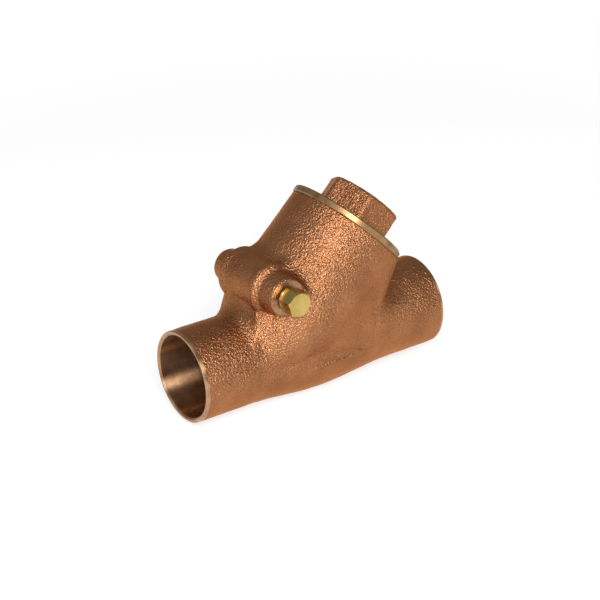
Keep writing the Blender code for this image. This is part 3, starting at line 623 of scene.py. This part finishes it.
def chamber():
    land = SEAT_BORE_RADIUS + SEAT_LAND
    floor = WEB_TOP - THROAT_INSET
    thread = CAP_THREAD_RADIUS + 0.15 * MM
    thread_bottom = CAP_SPIGOT_BOTTOM - 0.8 * MM
    recess_floor = NECK_TOP - CAP_RECESS_DEPTH
    outline = [
        (0, WEB_UNDERSIDE - 0.1 * MM),
        (SEAT_BORE_RADIUS, WEB_UNDERSIDE - 0.1 * MM),
        (SEAT_BORE_RADIUS, SEAT_HEIGHT),
        (land, SEAT_HEIGHT),
        (land, floor),
        (CHAMBER_RADIUS, floor),
        (CHAMBER_RADIUS, thread_bottom - 0.9 * MM),
        (thread, thread_bottom),
        (thread, recess_floor),
        (CAP_RECESS_RADIUS, recess_floor),
        (CAP_RECESS_RADIUS, NECK_TOP + 2 * CAST_ALLOWANCE),
        (0, NECK_TOP + 2 * CAST_ALLOWANCE),
    ]
    return turned(outline, FINE_STEPS, BRANCH)


def hinge_holes():
    steps = 64
    pocket = [(0, -POCKET_HALF), (POCKET_RADIUS, -POCKET_HALF), (POCKET_RADIUS, POCKET_HALF), (0, POCKET_HALF)]
    step = BOSS_HALF_LENGTH - PLUG_HOLE_DEPTH
    blind = -BOSS_HALF_LENGTH + PIN_END_WALL
    hole = [
        (0, blind),
        (PIN_HOLE_RADIUS, blind),
        (PIN_HOLE_RADIUS, step),
        (PLUG_HOLE_RADIUS, step),
        (PLUG_HOLE_RADIUS, 2 * BOSS_HALF_LENGTH),
        (0, 2 * BOSS_HALF_LENGTH),
    ]
    return turned(pocket, steps, PIVOT), turned(hole, steps, PIVOT)


def make_body(finishes):
    rough = joined([run_rough(), neck_hull(), boss_wall_hull(), boss_rough()])
    body = skinned("valve_casting", rough, SKIN_VOXEL, casting_distance)
    waver(body, *BODY_WAVER)
    for solid in (end_facing(1), end_facing(-1), neck_facing(), boss_facing()):
        boolean(body, add("facing", solid))
    pocket, hole = hinge_holes()
    for solid in (socket_and_waterway(-1), throat(), socket_and_waterway(1), chamber(), pocket, hole):
        boolean(body, add("cavity", solid))
    raise_arrow(body)
    finished(body.data, finishes, body_finish(body.data))
    shade(body)
    return body


def arrow_lift(points):
    """How far the flow arrow stands proud at each point of the run's skin."""
    bearing = np.arctan2(points[:, 2], -points[:, 1])
    across = np.abs(bearing - ARROW_BEARING) * BELLY_RADIUS
    shaft_end = ARROW_END - ARROW_HEAD
    from_middle = np.abs(points[:, 0] - (ARROW_START + shaft_end) / 2)
    beyond = np.maximum(from_middle - (shaft_end - ARROW_START) / 2, 0)
    shaft = np.hypot(beyond, across) - ARROW_HALF_WIDTH
    slope = ARROW_HEAD_HALF_WIDTH / ARROW_HEAD
    flank = (across - slope * (ARROW_END - points[:, 0])) / math.hypot(1, slope)
    head = np.maximum(flank, shaft_end - points[:, 0])
    return ARROW_RAISE * (1 - ease(np.minimum(shaft, head), -ARROW_FLANK_IN, ARROW_FLANK_OUT))


def raise_arrow(made):
    """Divides the skin finely about the arrow and lifts it there."""
    margin = 1.5 * MM
    solid = bmesh.new()
    solid.from_mesh(made.data)
    around = BELLY_RADIUS * math.sin(ARROW_BEARING)
    reach = ARROW_HEAD_HALF_WIDTH + margin

    def near_arrow(centre):
        along = ARROW_START - margin < centre.x < ARROW_END + margin
        return along and centre.y < 0 and abs(centre.z - around) < reach

    faces = [face for face in solid.faces if near_arrow(face.calc_center_median())]
    edges = list({edge for face in faces for edge in face.edges})
    bmesh.ops.subdivide_edges(solid, edges=edges, cuts=ARROW_MESH_CUTS, use_grid_fill=True)
    solid.to_mesh(made.data)
    solid.free()
    points = coordinates(made.data)
    outward = np.where(points[:, 1] < -TUBE_RADIUS / 2, arrow_lift(points), 0)
    radial = points * (0, 1, 1) / np.hypot(points[:, 1], points[:, 2])[:, None]
    shell = np.hypot(points[:, 1], points[:, 2]) > TUBE_RADIUS
    made.data.vertices.foreach_set("co", (points + radial * (outward * shell)[:, None]).ravel())
    made.data.update()


def body_finish(mesh):
    """Which finish each face of the body takes, by where it lies."""
    centres = face_centres(mesh)
    local = to_branch(centres)
    radius = np.hypot(centres[:, 1], centres[:, 2])
    neck_radius = np.hypot(local[:, 0], local[:, 1])
    inside = casting_distance(centres) < -INSIDE_DEPTH
    index = np.where(inside, AS_CORED, AS_CAST)
    beyond = np.abs(centres[:, 0]) > HALF_RUN - SOCKET_DEPTH - FACE_TOLERANCE
    turned_run = beyond & (radius < SOCKET_BORE_RADIUS + SOCKET_CHAMFER + 0.1 * MM) & inside
    turned_run |= np.abs(centres[:, 0]) > HALF_RUN - 1.0 * MM
    index[turned_run] = TURNED_ROUND_RUN
    neck_turned = (local[:, 2] > CAP_SPIGOT_BOTTOM - 2 * MM) & (neck_radius < NECK_RADIUS - 1 * MM) & inside
    neck_turned |= np.abs(local[:, 2] - NECK_TOP) < FACE_TOLERANCE
    seat = neck_radius < SEAT_BORE_RADIUS + SEAT_LAND + FACE_TOLERANCE
    seat &= np.abs(local[:, 2] - SEAT_HEIGHT) < 1.2 * MM
    index[neck_turned | (seat & inside)] = TURNED_ROUND_NECK
    hinge = np.hypot(local[:, 0] + PIN_OFFSET, local[:, 2] - PIN_HEIGHT)
    boss_face = (centres[:, 1] < -BOSS_HALF_LENGTH + FACE_TOLERANCE) & (hinge < BOSS_FACED_RADIUS)
    pin_bore = (hinge < PLUG_HOLE_RADIUS + FACE_TOLERANCE) & (np.abs(centres[:, 1]) > POCKET_HALF)
    index[boss_face | pin_bore] = TURNED_ROUND_PIN
    return index


# Cap and plug


def make_cap(finishes):
    grip = skinned(
        "cap_casting",
        hexagon_on_branch(CAP_HEX_FLATS, CAP_FLANGE_TOP - 3 * MM, CAP_HEX_TOP, CAP_HEX_TURN),
        CAP_VOXEL,
        cap_grip_distance,
    )
    waver(grip, *CAP_WAVER)
    boolean(grip, add("stem", turned(cap_stem(), FINE_STEPS, BRANCH)), "UNION")
    heights = to_branch(face_centres(grip.data))[:, 2]
    finished(grip.data, finishes, (heights < CAP_FLANGE_TOP + FACE_TOLERANCE).astype(int))
    shade(grip)
    return grip


def hexagon_on_branch(flats, bottom, top, turn):
    solid = hexagon(flats, bottom, top, turn)
    bmesh.ops.translate(solid, vec=(*CAP_HEX_OFFSET, 0), verts=solid.verts)
    bmesh.ops.transform(solid, matrix=BRANCH, verts=solid.verts)
    return solid


def cap_grip_distance(points):
    low = CAP_FLANGE_TOP - 1.2 * MM - to_branch(points)[:, 2]
    return np.maximum(hex_distance(points), low)


def cap_stem():
    """The flange, the threaded spigot as rings, and the domed hollow inside it."""
    outline = [
        (0, CAP_HOLLOW_TOP + CAP_HOLLOW_DOME - 0.9 * MM),
        (CAP_BORE_RADIUS * 0.55, CAP_HOLLOW_TOP + 0.3 * MM),
        (CAP_BORE_RADIUS, CAP_HOLLOW_TOP - CAP_HOLLOW_DOME),
        (CAP_BORE_RADIUS, CAP_SPIGOT_BOTTOM),
        (CAP_THREAD_RADIUS - 0.8 * MM, CAP_SPIGOT_BOTTOM),
    ]
    height = CAP_SPIGOT_BOTTOM + 0.8 * MM
    while height + CAP_THREAD_PITCH < CAP_FLANGE_BOTTOM - 0.6 * MM:
        outline += [(CAP_THREAD_RADIUS, height), (CAP_THREAD_RADIUS, height + 0.2 * CAP_THREAD_PITCH)]
        outline += [(CAP_THREAD_RADIUS - CAP_THREAD_DEPTH, height + 0.6 * CAP_THREAD_PITCH)]
        height += CAP_THREAD_PITCH
    broken = 0.3 * MM
    outline += [
        (CAP_THREAD_RADIUS - CAP_THREAD_DEPTH, CAP_FLANGE_BOTTOM),
        (CAP_FLANGE_RADIUS - broken, CAP_FLANGE_BOTTOM),
        (CAP_FLANGE_RADIUS, CAP_FLANGE_BOTTOM + broken),
        (CAP_FLANGE_RADIUS, CAP_FLANGE_TOP - 1.5 * broken),
        (CAP_FLANGE_RADIUS - 1.5 * broken, CAP_FLANGE_TOP),
        (0, CAP_FLANGE_TOP),
    ]
    return outline


def make_plug(finish):
    collar_top = PLUG_SEAT + PLUG_COLLAR_LENGTH
    end = collar_top + PLUG_HEX_LENGTH
    inner = BOSS_HALF_LENGTH - PLUG_THREAD_LENGTH
    relief = 0.12 * MM
    shank = [
        (0, inner),
        (PLUG_THREAD_RADIUS - 0.5 * MM, inner),
        (PLUG_THREAD_RADIUS, inner + 0.5 * MM),
        (PLUG_THREAD_RADIUS, PLUG_SEAT),
        (PLUG_COLLAR_RADIUS - relief, PLUG_SEAT),
        (PLUG_COLLAR_RADIUS, PLUG_SEAT + relief),
        (PLUG_COLLAR_RADIUS, collar_top - relief),
        (PLUG_COLLAR_RADIUS - relief, collar_top),
        (0, collar_top),
    ]
    plug = add("hinge_plug", turned(shank, FINE_STEPS, PIVOT))
    corner = PLUG_HEX_FLATS / math.sqrt(3)
    middle = collar_top - PLUG_COLLAR_LENGTH / 2
    head_solid = hexagon(PLUG_HEX_FLATS, middle, end, PLUG_HEX_TURN)
    bmesh.ops.bevel(
        head_solid, geom=head_solid.edges[:], offset=0.12 * MM, segments=2, affect="EDGES", profile=0.5
    )
    bmesh.ops.transform(head_solid, matrix=PIVOT, verts=head_solid.verts)
    head = add("plug_head", head_solid)
    reach = corner * 1.05
    crown_radius = PLUG_HEX_FLATS / 2 * 0.97
    crown_slope = math.tan(math.radians(30))
    crown = [
        (0, middle - 1 * MM),
        (reach, middle - 1 * MM),
        (reach, end - (reach - crown_radius) * crown_slope),
        (crown_radius, end + 0.01 * MM),
        (0, end + 0.01 * MM),
    ]
    boolean(head, add("crown", turned(crown, FINE_STEPS, PIVOT)), "INTERSECT")
    boolean(plug, head, "UNION")
    plug.data.materials.clear()
    plug.data.materials.append(finish)
    shade(plug, 24)
    return plug


# Finishes


def shader_tree(name):
    made = bpy.data.materials.new(name)
    made.use_nodes = True
    tree = made.node_tree
    return made, tree, tree.nodes["Principled BSDF"]


def worked(tree, operation, *sources, kind="ShaderNodeMath"):
    """A math node. Each source is a number or another node's output."""
    node = tree.nodes.new(kind)
    node.operation = operation
    for socket, source in zip(node.inputs, sources):
        if isinstance(source, float):
            socket.default_value = source
        else:
            tree.links.new(source, socket)
    return node.outputs["Value"]


def ramp(tree, source, stops):
    node = tree.nodes.new("ShaderNodeValToRGB")
    elements = node.color_ramp.elements
    while len(elements) < len(stops):
        elements.new(0.5)
    for element, (place, colour) in zip(elements, stops):
        element.position = place
        element.color = (*colour, 1)
    tree.links.new(source, node.inputs["Fac"])
    return node.outputs["Color"]


def grey(value):
    return (value, value, value)


def object_place(tree):
    return tree.nodes.new("ShaderNodeTexCoord").outputs["Object"]


def noise_at(tree, place, size, detail=2.0, roughness=0.5):
    node = tree.nodes.new("ShaderNodeTexNoise")
    node.inputs["Scale"].default_value = 1 / size
    node.inputs["Detail"].default_value = detail
    node.inputs["Roughness"].default_value = roughness
    tree.links.new(place, node.inputs["Vector"])
    return node.outputs["Fac"]


def bump(tree, height, depth, previous=None):
    node = tree.nodes.new("ShaderNodeBump")
    node.inputs["Strength"].default_value = 1.0
    node.inputs["Distance"].default_value = depth
    tree.links.new(height, node.inputs["Height"])
    if previous is not None:
        tree.links.new(previous, node.inputs["Normal"])
    return node.outputs["Normal"]


def darkened(tree, factor, colour, shade_colour):
    """The colour multiplied by another, as far as the factor says."""
    node = tree.nodes.new("ShaderNodeMix")
    node.data_type = "RGBA"
    node.blend_type = "MULTIPLY"
    next(s for s in node.inputs if s.name == "Factor").default_value = factor
    for value, name in ((colour, "A"), (shade_colour, "B")):
        tree.links.new(value, next(s for s in node.inputs if s.name == name and s.type == "RGBA"))
    return next(s for s in node.outputs if s.type == "RGBA")


def cast_bronze(name, tone, grain_depth=0.55 * MM, roughness=0.4):
    """Blasted sand casting: pebbled grain just under a millimetre across, small pits and slow patches."""
    made, tree, shader = shader_tree(name)
    place = object_place(tree)
    grain = noise_at(tree, place, 0.75 * MM, 2.0, 0.5)
    fine = noise_at(tree, place, 0.32 * MM, 2.0, 0.6)
    patches = noise_at(tree, place, 12 * MM, 3.0, 0.55)
    dark, middle, light = tone
    colour = ramp(tree, patches, [(0.3, dark), (0.5, middle), (0.7, light)])
    pits = ramp(tree, grain, [(0.28, grey(0.6)), (0.42, grey(1.0))])
    colour = darkened(tree, 0.5, colour, pits)
    tree.links.new(colour, shader.inputs["Base Color"])
    rough = ramp(tree, fine, [(0.36, grey(roughness - 0.14)), (0.56, grey(roughness + 0.06))])
    tree.links.new(rough, shader.inputs["Roughness"])
    normal = bump(tree, grain, grain_depth)
    normal = bump(tree, fine, grain_depth / 6, normal)
    tree.links.new(normal, shader.inputs["Normal"])
    shader.inputs["Metallic"].default_value = 1.0
    shader.inputs["Specular Tint"].default_value = (1, 0.7, 0.5, 1)
    return made


def turned_metal(
    name, tone, roughness, origin, axis, groove=0.25 * MM, depth=0.012 * MM, stain=0.5, streak=0.0
):
    """Turned metal: fine grooves round an axis and faint stains. A streak draws the light out."""
    made, tree, shader = shader_tree(name)
    place = object_place(tree)
    mapping = tree.nodes.new("ShaderNodeMapping")
    mapping.vector_type = "POINT"
    turn = Vector((0, 0, 1)).rotation_difference(Vector(axis)).inverted().to_matrix()
    mapping.inputs["Rotation"].default_value = turn.to_euler()
    mapping.inputs["Location"].default_value = -(turn @ Vector(origin))
    tree.links.new(place, mapping.inputs["Vector"])
    split = tree.nodes.new("ShaderNodeSeparateXYZ")
    tree.links.new(mapping.outputs["Vector"], split.inputs["Vector"])
    flat = tree.nodes.new("ShaderNodeCombineXYZ")
    tree.links.new(split.outputs["X"], flat.inputs["X"])
    tree.links.new(split.outputs["Y"], flat.inputs["Y"])
    length = worked(tree, "LENGTH", flat.outputs["Vector"], kind="ShaderNodeVectorMath")
    both = tree.nodes.new("ShaderNodeCombineXYZ")
    tree.links.new(length, both.inputs["X"])
    tree.links.new(split.outputs["Z"], both.inputs["Y"])
    grooves = noise_at(tree, both.outputs["Vector"], groove, 2.0, 0.5)
    stains = noise_at(tree, place, 6 * MM, 3.0, 0.6)
    dark, light = tone
    colour = ramp(tree, stains, [(0.5 - 0.25 * stain, dark), (0.62, light)])
    tree.links.new(colour, shader.inputs["Base Color"])
    rough = ramp(tree, grooves, [(0.3, grey(roughness[0])), (0.7, grey(roughness[1]))])
    tree.links.new(rough, shader.inputs["Roughness"])
    tree.links.new(bump(tree, grooves, depth), shader.inputs["Normal"])
    shader.inputs["Metallic"].default_value = 1.0
    if streak:
        tangent = tree.nodes.new("ShaderNodeCombineXYZ")
        for name_of_axis, value in zip("XYZ", axis):
            tangent.inputs[name_of_axis].default_value = value
        tree.links.new(tangent.outputs["Vector"], shader.inputs["Tangent"])
        shader.inputs["Anisotropic"].default_value = streak
    return made


def soft_plastic(name, tone, roughness):
    made, tree, shader = shader_tree(name)
    place = object_place(tree)
    clouds = noise_at(tree, place, 4 * MM, 3.0)
    tree.links.new(ramp(tree, clouds, [(0.3, tone[0]), (0.7, tone[1])]), shader.inputs["Base Color"])
    grain = noise_at(tree, place, 0.3 * MM, 2.0)
    rough = ramp(tree, grain, [(0.3, grey(roughness - 0.06)), (0.7, grey(roughness + 0.06))])
    tree.links.new(rough, shader.inputs["Roughness"])
    tree.links.new(bump(tree, grain, 0.02 * MM), shader.inputs["Normal"])
    return made


CAST_TONE = ((0.335, 0.143, 0.064), (0.39, 0.17, 0.077), (0.445, 0.198, 0.092))
CORE_TONE = ((0.2, 0.08, 0.04), (0.28, 0.115, 0.055), (0.34, 0.15, 0.075))
TURNED_TONE = ((0.48, 0.25, 0.13), (0.6, 0.36, 0.19))
BORE_TONE = ((0.4, 0.21, 0.105), (0.54, 0.33, 0.19))
BOSS_FACE_TONE = ((0.3, 0.16, 0.08), (0.42, 0.24, 0.13))
FLANGE_TONE = ((0.16, 0.077, 0.033), (0.42, 0.25, 0.115))
BRASS_TONE = ((0.47, 0.34, 0.1), (0.6, 0.43, 0.14))

branch_origin = tuple(BRANCH.translation)
branch_axis = tuple(BRANCH.to_3x3() @ Vector((0, 0, 1)))
pin_origin = tuple(PIVOT.translation)

CAST = cast_bronze("cast_bronze", CAST_TONE)
CORED = cast_bronze("cored_bronze", CORE_TONE, 0.2 * MM, 0.52)
TURNED_RUN = turned_metal("turned_run", BORE_TONE, (0.29, 0.39), (0, 0, 0), (1, 0, 0), streak=0.92)
TURNED_NECK = turned_metal("turned_neck", TURNED_TONE, (0.24, 0.36), branch_origin, branch_axis)
TURNED_BOSS = turned_metal("turned_boss", BOSS_FACE_TONE, (0.38, 0.5), pin_origin, (0, 1, 0))
FLANGE = turned_metal("turned_flange", FLANGE_TONE, (0.34, 0.5), branch_origin, branch_axis, stain=1.0)
PIN = turned_metal("turned_pin", TURNED_TONE, (0.24, 0.34), pin_origin, (0, 1, 0))
BRASS = turned_metal("turned_brass", BRASS_TONE, (0.14, 0.24), pin_origin, (0, 1, 0), depth=0.006 * MM)
BRASS_STUD = turned_metal("turned_brass_stud", BRASS_TONE, (0.2, 0.3), branch_origin, branch_axis)
HOLDER = turned_metal("turned_holder", TURNED_TONE, (0.22, 0.34), branch_origin, branch_axis)
CAST_HANGER = cast_bronze("cast_hanger", CAST_TONE, 0.15 * MM)
SOFT_WHITE = soft_plastic("soft_white", ((0.74, 0.73, 0.69), (0.84, 0.83, 0.8)), 0.42)
# The gaskets' near-black fibre is partly their own dark colour and partly painted shade, standing in for the
# shadow in the gaps where they sit, such as under the plug's collar.
FIBRE_AND_PAINTED_GAP_SHADE = soft_plastic("fibre", ((0.02, 0.018, 0.016), (0.05, 0.045, 0.04)), 0.75)

NODE_FINISH = {
    # Both gaskets take the near-black fibre, which is partly painted shade in the gaps where they sit.
    "cap_gasket": FIBRE_AND_PAINTED_GAP_SHADE,
    "hinge_pin": PIN,
    "plug_gasket": FIBRE_AND_PAINTED_GAP_SHADE,
    "hanger": CAST_HANGER,
    "disc_holder": HOLDER,
    "seat_disc": SOFT_WHITE,
    "seat_disc_washer": BRASS_STUD,
    "seat_disc_nut": BRASS_STUD,
    "hanger_washer": BRASS_STUD,
    "hanger_nut": BRASS_STUD,
}


def dress_nodes():
    for name, finish in NODE_FINISH.items():
        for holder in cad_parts[name].material_slots:
            holder.material = finish


# Studio


def area_light(name, place, size, power):
    data = bpy.data.lights.new(name, "AREA")
    data.shape = "RECTANGLE"
    data.size, data.size_y = size
    data.energy = power
    made = bpy.data.objects.new(name, data)
    made.location = place
    made.rotation_euler = (Vector(LAMPS_AIM) - Vector(place)).to_track_quat("-Z", "Y").to_euler()
    bpy.context.scene.collection.objects.link(made)


def make_floor():
    solid = bmesh.new()
    level = CAD_BOX[0].z - 0.2 * MM
    corners = [(x * FLOOR_HALF, y * FLOOR_HALF, level) for x, y in ((-1, -1), (1, -1), (1, 1), (-1, 1))]
    solid.faces.new([solid.verts.new(corner) for corner in corners])
    floor = add("floor", solid)
    made, tree, shader = shader_tree("floor_paper")
    shader.inputs["Base Color"].default_value = (0.5, 0.5, 0.5, 1)
    shader.inputs["Roughness"].default_value = 0.9
    shader.inputs["Specular IOR Level"].default_value = 0.0
    shader.inputs["Emission Color"].default_value = (1, 1, 1, 1)
    shader.inputs["Emission Strength"].default_value = 0.0
    paths = tree.nodes.new("ShaderNodeLightPath")
    mirrored = worked(tree, "MAXIMUM", paths.outputs["Is Glossy Ray"], paths.outputs["Is Transmission Ray"])
    reflected = worked(tree, "MULTIPLY", mirrored, FLOOR_GLOW)
    # The glow makes up for the lamps' falling off, so the floor stays white as far as it goes
    place = tree.nodes.new("ShaderNodeNewGeometry")
    apart = worked(tree, "LENGTH", place.outputs["Position"], kind="ShaderNodeVectorMath")
    far = tree.nodes.new("ShaderNodeMapRange")
    far.inputs["From Min"].default_value = FLOOR_NEAR
    far.inputs["From Max"].default_value = FLOOR_FAR
    far.inputs["To Min"].default_value = FLOOR_GLOW
    tree.links.new(apart, far.inputs["Value"])
    direct = worked(tree, "MULTIPLY", far.outputs["Result"], paths.outputs["Is Camera Ray"])
    tree.links.new(worked(tree, "MAXIMUM", direct, reflected), shader.inputs["Emission Strength"])
    floor.data.materials.append(made)


def make_world():
    world = bpy.data.worlds.new("studio")
    bpy.context.scene.world = world
    world.use_nodes = True
    tree = world.node_tree
    background = tree.nodes["Background"]
    paths = tree.nodes.new("ShaderNodeLightPath")
    level = tree.nodes.new("ShaderNodeMapRange")
    level.inputs["To Min"].default_value = WORLD_IN_METAL
    level.inputs["To Max"].default_value = 1.0
    tree.links.new(paths.outputs["Is Camera Ray"], level.inputs["Value"])
    tree.links.new(level.outputs["Result"], background.inputs["Strength"])
    background.inputs["Color"].default_value = (1, 1, 1, 1)


def make_lights():
    area_light("key", *KEY_LAMP)
    area_light("upper_left", *UPPER_LEFT_LAMP)


def make_camera():
    away = Vector(
        (
            -math.sin(CAMERA_AZIMUTH) * math.cos(CAMERA_ELEVATION),
            -math.cos(CAMERA_AZIMUTH) * math.cos(CAMERA_ELEVATION),
            math.sin(CAMERA_ELEVATION),
        )
    )
    right = (-away).cross(Vector((0, 0, 1))).normalized()
    down = (-away).cross(right)
    turned_right = math.cos(CAMERA_ROLL) * right + math.sin(CAMERA_ROLL) * down
    turned_down = -math.sin(CAMERA_ROLL) * right + math.cos(CAMERA_ROLL) * down
    data = bpy.data.cameras.new("camera")
    data.sensor_width = SENSOR_WIDTH_MM
    data.lens = FOCAL_PIXELS / IMAGE_WIDTH * SENSOR_WIDTH_MM
    data.shift_x = (IMAGE_WIDTH / 2 - ORIGIN_PIXEL[0]) / IMAGE_WIDTH
    data.shift_y = (ORIGIN_PIXEL[1] - IMAGE_WIDTH / 2) / IMAGE_WIDTH
    data.clip_start = 0.01
    made = bpy.data.objects.new("camera", data)
    matrix = Matrix((turned_right, -turned_down, away)).transposed().to_4x4()
    matrix.translation = away * CAMERA_DISTANCE
    made.matrix_world = matrix
    bpy.context.scene.collection.objects.link(made)
    bpy.context.scene.camera = made


make_camera()
body = make_body([CAST, TURNED_RUN, TURNED_NECK, TURNED_BOSS, CORED])
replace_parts(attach(body, "valve_body"), "body")
cap = make_cap([CAST, FLANGE])
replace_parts(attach(cap, "valve_body"), "cap")
plug = make_plug(BRASS)
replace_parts(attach(plug, "valve_body"), "hinge_pin_plug")
dress_nodes()
make_floor()
make_world()
make_lights()
bpy.context.scene.view_settings.view_transform = "Standard"
